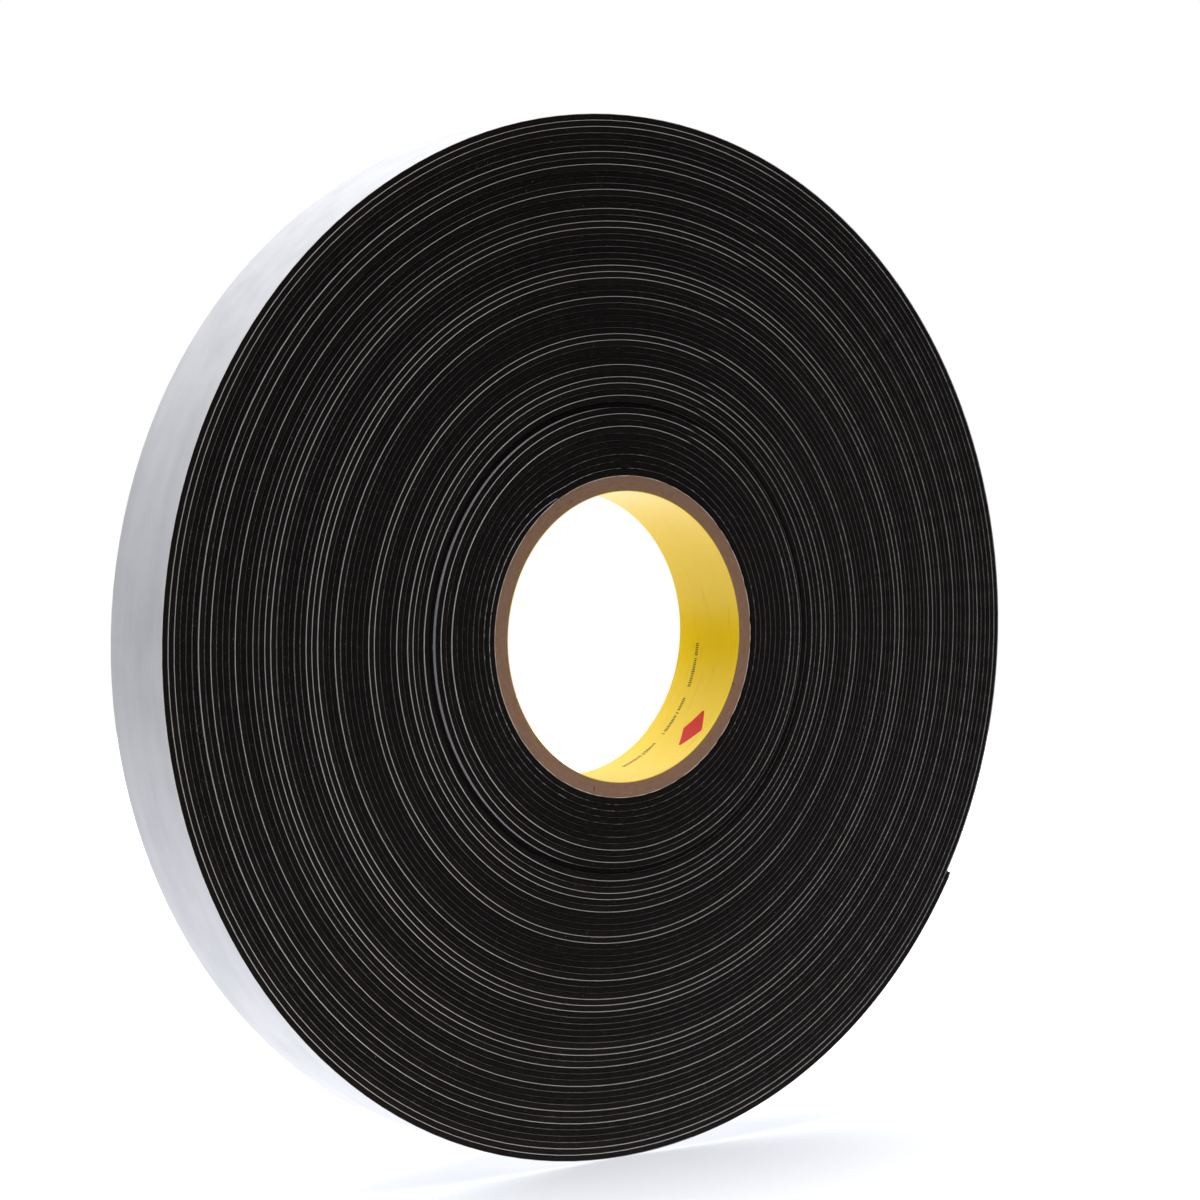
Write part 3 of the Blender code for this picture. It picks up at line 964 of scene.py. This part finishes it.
    def build_tree(self) -> bpy.types.NodeTree:
        """Build the tree: a straight strip is swept in turns, and then wound by moving its points.

        Returns:
            The tree.
        """
        tree, sockets = new_tree("wound_layer", SPIRAL_INPUTS | dict.fromkeys((
            "Steps per Turn", "Inner Boundary", "Outer Boundary", "Inside", "Outside", "Least Inside",
            "Least Outside", "Width", "Thickness", "Corner", "Stand Out", "End Slant"), NUMBER))
        ends = [add_node(tree, COMBINE, sockets[key]) for key in ("First Turn", "Last Turn")]
        line = add_node(tree, "GeometryNodeCurvePrimitiveLine", *ends)
        upright = add_node(tree, "GeometryNodeSetCurveNormal", line, mode="Z_UP")
        span = add_node(tree, MATH, sockets["Last Turn"], sockets["First Turn"], operation="SUBTRACT")
        count = add_node(tree, MATH, add_node(tree, MATH, span, sockets["Steps per Turn"], 1.5,
                                              operation="MULTIPLY_ADD"), operation="CEIL")
        path = add_node(tree, "GeometryNodeResampleCurve", upright, named={"Count": count})
        outline = add_node(tree, "GeometryNodeCurvePrimitiveQuadrilateral", sockets["Thickness"],
                           sockets["Width"])
        rounded = add_node(tree, "GeometryNodeFilletCurve", outline, 2, sockets["Corner"], True, mode="POLY")
        strip = add_node(tree, "GeometryNodeCurveToMesh", path, rounded, named={"Fill Caps": True})

        place = add_node(tree, SEPARATE, add_node(tree, "GeometryNodeInputPosition"))
        height = add_node(tree, MATH, place.outputs["Y"], sockets["Thickness"], operation="DIVIDE")
        height = add_node(tree, MATH, height, 0.5, operation="ADD")
        step = add_node(tree, MATH, 1.0, sockets["Steps per Turn"], operation="DIVIDE")
        near_end = add_node(tree, MATH, sockets["Last Turn"], step, operation="SUBTRACT")
        at_end = add_node(tree, MAP_RANGE, place.outputs["X"], near_end, sockets["Last Turn"], 0.0, 1.0)
        slant = add_node(tree, MATH, add_node(tree, MATH, height, at_end, operation="MULTIPLY"),
                         sockets["End Slant"], operation="MULTIPLY")
        turns = add_node(tree, MATH, place.outputs["X"], slant, operation="SUBTRACT")

        level = self.turn_level(tree, turns, sockets)
        next_level = self.turn_level(tree, add_node(tree, MATH, turns, 1.0, operation="ADD"), sockets)
        radii = []
        for boundary, offset, least in (("Inner Boundary", "Inside", "Least Inside"),
                                        ("Outer Boundary", "Outside", "Least Outside")):
            held = add_node(tree, MIX, sockets[boundary], named={2: level, 3: next_level})
            out = add_node(tree, MATH, held, sockets["Pitch"], sockets[offset], operation="MULTIPLY_ADD")
            radii.append(add_node(tree, MATH, out, sockets[least], operation="MAXIMUM"))
        through = add_node(tree, MIX, height, named={2: radii[0], 3: radii[1]}, clamp_factor=False)
        angle = add_node(tree, MATH, turns, math.tau, sockets["Inner End"], operation="MULTIPLY_ADD")
        across, up = (add_node(tree, MATH, angle, operation=kind) for kind in ("COSINE", "SINE"))
        radius = add_node(tree, MATH, through, sockets["Core Radius"], operation="ADD")
        direction = add_node(tree, COMBINE, across, 0.0, up)
        flat = add_node(tree, VECTOR_MATH, direction, operation="SCALE", named={"Scale": radius})
        radius = add_node(tree, MATH, radius, self.drift(tree, turns, direction, flat, sockets),
                          operation="ADD")
        shift = self.sideways_shift(tree, turns, sockets)
        bare = self.edge_bareness_and_shade(tree, turns, across, up)
        edge = add_node(tree, MATH, bare, sockets["Stand Out"], operation="MULTIPLY")
        half = add_node(tree, MATH, sockets["Width"], 0.5, operation="MULTIPLY")
        side = add_node(tree, MATH, place.outputs["Z"], half, operation="DIVIDE")
        sideways = add_node(tree, MATH, side, edge, place.outputs["Z"], operation="MULTIPLY_ADD")
        sideways = add_node(tree, MATH, sideways, shift, operation="ADD")

        outward = add_node(tree, VECTOR_MATH, direction, operation="SCALE", named={"Scale": radius})
        final = add_node(tree, VECTOR_MATH, outward,
                         add_node(tree, COMBINE, 0.0, sideways, 0.0), operation="ADD")
        length = add_node(tree, MATH, add_node(tree, MATH, turns, math.tau, operation="MULTIPLY"), radius,
                          operation="MULTIPLY")
        along = add_node(tree, COMBINE, length, place.outputs["Z"], bare)
        marked = add_node(tree, "GeometryNodeStoreNamedAttribute", strip, named={"Name": "tape"},
                          data_type="FLOAT_VECTOR", domain="POINT")
        tree.links.new(along.outputs[0], marked.inputs["Value"])
        wound = add_node(tree, "GeometryNodeSetPosition", marked, named={"Position": final})
        end_tree(tree, wound, sockets["Material"])
        return tree

    def stretch(self, name: str, layer: Layer, first: float, last: float, steps: int,
                material: bpy.types.Material, slant: float = 0.0) -> bpy.types.Object:
        """Wind a stretch of one layer.

        Args:
            name: The piece's name.
            layer: The layer.
            first: The turn at which it begins.
            last: The turn at which it ends.
            steps: Its steps per turn.
            material: Its material.
            slant: How far the last edge leans back, in turns.

        Returns:
            The piece.
        """
        return made_by_nodes(name, self.tree, self.spiral_values(first, last, material) | {
            "Steps per Turn": steps, "Inner Boundary": layer.inner_boundary,
            "Outer Boundary": layer.outer_boundary, "Inside": layer.inside, "Outside": layer.outside,
            "Least Inside": layer.least_inside, "Least Outside": layer.least_outside, "Width": self.width,
            "Thickness": layer.thickness, "Corner": layer.corner, "Stand Out": layer.stand_out,
            "End Slant": slant})

    def spiral_values(self, first: float, last: float, material: bpy.types.Material) -> dict[str, Any]:
        """Give the inputs that every tree on this spiral has.

        Args:
            first: The turn at which it begins.
            last: The turn at which it ends.
            material: Its material.

        Returns:
            The inputs' values, by name.
        """
        return {"First Turn": first, "Last Turn": last, "Core Radius": self.core_radius, "Pitch": self.pitch,
                "Inner End": self.inner_end, "Climb": self.climb, "Climb Lead": self.climb_lead,
                "Settling Turns": self.settling_turns, "Waviness": self.waviness, "Wander": self.wander,
                "Proud Turns": self.proud_turns, "Proud By": self.proud_by, "Sunk Turns": self.sunk_turns,
                "Sunk By": self.sunk_by, "Swollen Side": self.swollen_side, "Swollen By": self.swollen_by,
                "Material": material}

    def build(self) -> None:
        """Build the wound stretch, and the lifting stretch piece by piece across its hinges."""
        foam, paper, coat = VinylFoam().make(), ReleaseLiner().make(), AcrylicAdhesive().make()
        hinges = {joint["name"]: Vector(joint["pos_m"]) for joint in frame["joints"]}
        lifts = [hinges[name] for name in ("tail_lift", "tail_bend_2", "tail_bend_3")]
        peels = [hinges[name] for name in ("liner_peel", "liner_curl_2", "liner_curl_3")]
        places = [self.turns_at(hinge) for hinge in lifts]
        peel_places = [self.turns_at(hinge) for hinge in peels]
        segment = places[1] - places[0]
        flap = peel_places[1] - peel_places[0]
        cuts = [place - segment / 2 for place in places] + [self.last]
        slant = self.end_slant / self.radius_at(self.last) / math.tau

        piece = self.stretch("wound_foam", self.foam, 0.0, cuts[0], self.foam_steps, foam)
        finish_piece(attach(piece, Body.ROLL.value), Slot.FOAM, "foam_winding")
        piece = self.stretch("wound_liner", self.paper, 0.0, cuts[0], self.liner_steps, paper)
        finish_piece(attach(piece, Body.ROLL.value), Slot.LINER, "liner_winding")
        for index, place in enumerate(places):
            first, last = cuts[index], cuts[index + 1]
            tip = index == len(places) - 1
            number = index + 1
            for title, layer, material, slot, node in (
                    ("tail_foam_skin", self.foam, foam, Slot.FOAM, "tail_foam"),
                    ("tail_adhesive_skin", self.coat, coat, Slot.ADHESIVE, "tail_adhesive"),
                    ("tail_liner_skin", self.paper, paper, Slot.LINER, "tail_liner")):
                end = (places[-1] + peel_places[0]) / 2 if tip and slot is Slot.LINER else last
                piece = self.stretch(f"{title}_{number}", layer, first, end, self.tail_steps, material,
                                     slant if tip and slot is not Slot.LINER else 0.0)
                self.bend(piece)
                finish_piece(piece, slot, f"{node}_{number}")
        liner_cuts = [(places[-1] + peel_places[0]) / 2, *(place + flap / 2 for place in peel_places[:2]),
                      self.last - slant]
        for index, place in enumerate(peel_places):
            number = index + 1
            piece = self.stretch(f"peeling_liner_{number}", self.paper, liner_cuts[index],
                                 liner_cuts[index + 1], self.flap_steps, paper)
            self.bend(piece)
            finish_piece(piece, Slot.LINER, f"liner_flap_{number}")

        piece = self.stretch("inner_end_strip", self.strip, *self.strip_turns, self.foam_steps,
                             TissueTape().make())
        finish_piece(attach(piece, Body.ROLL.value), Slot.TISSUE, "start_strip")

    def bend(self, piece: bpy.types.Object) -> None:
        """Bake a piece's transform into its mesh.

        Args:
            piece: The piece.
        """
        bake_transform(piece)

    def radius_at(self, turns: float) -> float:
        """The radius of the tape's inner surface where the spiral is even."""
        return self.core_radius + self.pitch * turns

    def turns_at(self, point: Vector) -> float:
        """The place along the last turn that lies at a point's angle."""
        back = (self.free_end - math.atan2(point.z, point.x)) % math.tau
        return self.last - back / math.tau


@dataclass
class CuttingDust:
    """Paper dust and foam crumbs that the slitting knife left along the liner's edges, on both sides."""

    winding: Winding
    count: int = 3600
    fleck: float = 0.1 * MM
    first_turn: float = 1.2
    clean_outside: float = 1.6
    proud: float = 0.02 * MM
    spread: float = 1.2 * MM
    seed: int = 40

    def build_tree(self) -> bpy.types.NodeTree:
        """Build the tree: flecks at random places along the spiral, just proud of the foam.

        Returns:
            The tree.
        """
        tree, sockets = new_tree("cutting_dust", SPIRAL_INPUTS | {
            "Count": WHOLE, "Fleck": NUMBER, "Side": NUMBER, "Spread": NUMBER, "Seed": WHOLE})
        squared = [add_node(tree, MATH, sockets[key], 2.0, operation="POWER")
                   for key in ("First Turn", "Last Turn")]
        drawn = add_node(tree, RANDOM, named={
            2: squared[0], 3: squared[1], "Seed": sockets["Seed"]}).outputs[1]
        turns = add_node(tree, MATH, drawn, 0.5, operation="POWER")
        level = self.winding.turn_level(tree, add_node(tree, MATH, turns, 1.0, operation="ADD"), sockets)
        stray = add_node(tree, RANDOM, named={
            2: -1.0, 3: 1.0, "Seed": add_node(tree, MATH, sockets["Seed"], 1.0, operation="ADD")}).outputs[1]
        stray = add_node(tree, MATH, add_node(tree, MATH, stray, 3.0, operation="POWER"), sockets["Spread"],
                         operation="MULTIPLY")
        radius = add_node(tree, MATH, level, sockets["Pitch"], sockets["Core Radius"],
                          operation="MULTIPLY_ADD")
        radius = add_node(tree, MATH, radius, stray, operation="ADD")
        angle = add_node(tree, MATH, turns, math.tau, sockets["Inner End"], operation="MULTIPLY_ADD")
        across, up = (add_node(tree, MATH, angle, operation=kind) for kind in ("COSINE", "SINE"))
        direction = add_node(tree, COMBINE, across, 0.0, up)
        flat = add_node(tree, VECTOR_MATH, direction, operation="SCALE", named={"Scale": radius})
        radius = add_node(tree, MATH, radius, self.winding.drift(tree, turns, direction, flat, sockets),
                          operation="ADD")
        outward = add_node(tree, VECTOR_MATH, direction, operation="SCALE", named={"Scale": radius})
        sideways = add_node(tree, MATH, self.winding.sideways_shift(tree, turns, sockets), sockets["Side"],
                            operation="ADD")
        place = add_node(tree, VECTOR_MATH, outward,
                         add_node(tree, COMBINE, 0.0, sideways, 0.0), operation="ADD")
        points = add_node(tree, "GeometryNodePoints", sockets["Count"], place)
        crumb = add_node(tree, "GeometryNodeMeshIcoSphere", sockets["Fleck"], 1)
        turn = add_node(tree, RANDOM, named={
            0: (0.0, 0.0, 0.0), 1: (math.tau, math.tau, math.tau), "Seed": 5},
            data_type="FLOAT_VECTOR").outputs[0]
        size = add_node(tree, RANDOM, named={
            0: (0.4, 0.4, 0.4), 1: (1.6, 0.9, 1.0), "Seed": 6}, data_type="FLOAT_VECTOR").outputs[0]
        crumbs = add_node(tree, "GeometryNodeInstanceOnPoints", points, None, crumb,
                          named={"Rotation": turn, "Scale": size})
        end_tree(tree, crumbs, sockets["Material"])
        return tree

    def build(self) -> None:
        """Scatter the dust on the front and the back."""
        winding, tree = self.winding, self.build_tree()
        dust = PaperDust().make()
        for name, side in (("front_cutting_dust", -1.0), ("back_cutting_dust", 1.0)):
            values = winding.spiral_values(self.first_turn, winding.last - self.clean_outside, dust)
            piece = made_by_nodes(name, tree, values | {
                "Count": self.count, "Fleck": self.fleck, "Side": side * (winding.width / 2 + self.proud),
                "Spread": self.spread, "Seed": int(self.seed + side)})
            finish_piece(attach(piece, Body.ROLL.value), Slot.LINER)


# The studio.


@dataclass(frozen=True)
class Softbox:
    """A square softbox that faces the roll: its name, its place, its side and its power in watts."""

    name: str
    place: tuple[float, float, float]
    side: float
    power: float

    def build(self) -> None:
        """Place the lamp."""
        data = bpy.data.lights.new(self.name, "AREA")
        data.shape, data.size, data.energy = "SQUARE", self.side, self.power
        lamp = bpy.data.objects.new(self.name, data)
        lamp.location = self.place
        lamp.rotation_euler = (-Vector(self.place)).to_track_quat("-Z", "Y").to_euler()
        bpy.context.scene.collection.objects.link(lamp)


@dataclass
class Studio:
    """A white sweep under soft light, with the camera level with the roll and to its left.

    `behind` to `right` fade the room's light along one direction each: from, to, and the light at both ends.
    """

    azimuth: float = math.radians(-37.07)
    elevation: float = math.radians(2.12)
    distance: float = 794.8 * MM
    target: tuple[float, float, float] = (0.81 * MM, 0.0, 9.26 * MM)
    lens: float = 89.9
    behind: tuple[float, ...] = (-0.5, 0.9, 0.3, 1.0)
    above: tuple[float, ...] = (0.1, 0.9, 0.0, 0.9)
    left: tuple[float, ...] = (-1.0, 0.2, -1.5, 0.0)
    low: tuple[float, ...] = (0.0, 0.45, 1.0, 0.0)
    right: tuple[float, ...] = (0.2, 1.0, 0.0, -0.45)
    least: float = 0.05
    daylight: str = "f9faff"
    floor_radius: float = 1.4
    floor_glow: tuple[float, ...] = (0.3, 1.2, 0.14, 0.45)
    softboxes: tuple[Softbox, ...] = (Softbox("overhead_softbox", (-0.1, 0.15, 1.1), 1.0, 9.0),
                                      Softbox("right_softbox", (1.1, -0.5, 0.35), 0.6, 1.0))
    bounce_fade: tuple[float, float] = (-0.5, -0.2)
    bounce: tuple[float, float] = (0.3, 1.75)
    front_fade: tuple[float, float] = (-0.3, 0.0)
    front_share: tuple[float, float] = (0.35, 1.0)

    def build_camera(self) -> None:
        """Place the camera."""
        data = bpy.data.cameras.new("camera")
        data.lens, data.sensor_width = self.lens, 36.0
        data.clip_start, data.clip_end = 0.01, 50.0
        camera = bpy.data.objects.new("camera", data)
        back = Vector((math.sin(self.azimuth) * math.cos(self.elevation),
                       -math.cos(self.azimuth) * math.cos(self.elevation), math.sin(self.elevation)))
        camera.location = Vector(self.target) + back * self.distance
        camera.rotation_euler = (-back).to_track_quat("-Z", "Y").to_euler()
        bpy.context.scene.collection.objects.link(camera)
        bpy.context.scene.camera = camera

    def build_world(self) -> None:
        """Light the roll from a bright room behind and above, and a dimmer one in front."""
        world = bpy.data.worlds.new("studio")
        bpy.context.scene.world = world
        world.use_nodes = True
        tree = world.node_tree
        backdrop = tree.nodes["Background"]
        way = add_node(tree, SEPARATE, add_node(tree, "ShaderNodeTexCoord").outputs["Generated"])
        behind, above, left, low, right = (
            add_node(tree, MAP_RANGE, way.outputs[axis], *fade, **EASED) for axis, fade in (
                ("Y", self.behind), ("Z", self.above), ("X", self.left), ("Z", self.low), ("X", self.right)))
        total = add_node(tree, MATH, left, low, operation="MULTIPLY")
        for part in (behind, above, right):
            total = add_node(tree, MATH, total, part, operation="ADD")
        total = add_node(tree, MATH, total, self.least, operation="MAXIMUM")
        light = add_node(tree, "ShaderNodeBackground", linear(self.daylight), total)
        white = add_node(tree, "ShaderNodeBackground", linear("ffffff"), 1.0)
        ray = add_node(tree, "ShaderNodeLightPath")
        both = add_node(tree, "ShaderNodeMixShader", ray.outputs["Is Camera Ray"], light, white)
        tree.links.new(both.outputs[0], tree.nodes["World Output"].inputs["Surface"])
        tree.nodes.remove(backdrop)

    def build_floor(self) -> None:
        """Lay a wide white floor under the roll, whose bounced light fades towards the left and front."""
        material, tree, shader = new_material("white_sweep_paper")
        shader.inputs["Base Color"].default_value = linear("f6f8fc")
        shader.inputs["Roughness"].default_value = 0.6
        shader.inputs["Emission Color"].default_value = linear("ffffff")
        place = add_node(tree, "ShaderNodeTexCoord").outputs["Object"]
        away = add_node(tree, VECTOR_MATH, place, operation="LENGTH").outputs["Value"]
        glow = add_node(tree, MAP_RANGE, away, *self.floor_glow)
        tree.links.new(glow.outputs[0], shader.inputs["Emission Strength"])
        sweep = add_node(tree, SEPARATE, place)
        bounce = add_node(tree, MAP_RANGE, sweep.outputs["X"], *self.bounce_fade, *self.bounce, **EASED)
        front = add_node(tree, MAP_RANGE, sweep.outputs["Y"], *self.front_fade, *self.front_share)
        bounce = add_node(tree, MATH, bounce, front, operation="MULTIPLY")
        bounced = add_node(tree, "ShaderNodeEmission", linear(self.daylight), bounce)
        ray = add_node(tree, "ShaderNodeLightPath")
        both = add_node(tree, "ShaderNodeMixShader", ray.outputs["Is Camera Ray"], bounced, shader)
        tree.links.new(both.outputs[0], tree.nodes["Material Output"].inputs["Surface"])
        mesh = bmesh.new()
        bmesh.ops.create_circle(mesh, cap_ends=True, segments=96, radius=self.floor_radius)
        bmesh.ops.translate(mesh, verts=mesh.verts[:], vec=(0.0, 0.0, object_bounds()[0].z - 0.02 * MM))
        mesh_piece("floor", mesh, material)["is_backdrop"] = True

    def build(self) -> None:
        """Build the camera, the floor and the lights."""
        self.build_camera()
        self.build_world()
        self.build_floor()
        for softbox in self.softboxes:
            softbox.build()
        bpy.context.scene.view_settings.view_transform = "Standard"


def main() -> None:
    """Build the roll and its studio."""
    logging.basicConfig(level=logging.INFO, format="%(name)s %(message)s")
    Core().build()
    winding = Winding()
    winding.build()
    CuttingDust(winding).build()
    Studio().build()


if __name__ == "__main__":
    main()
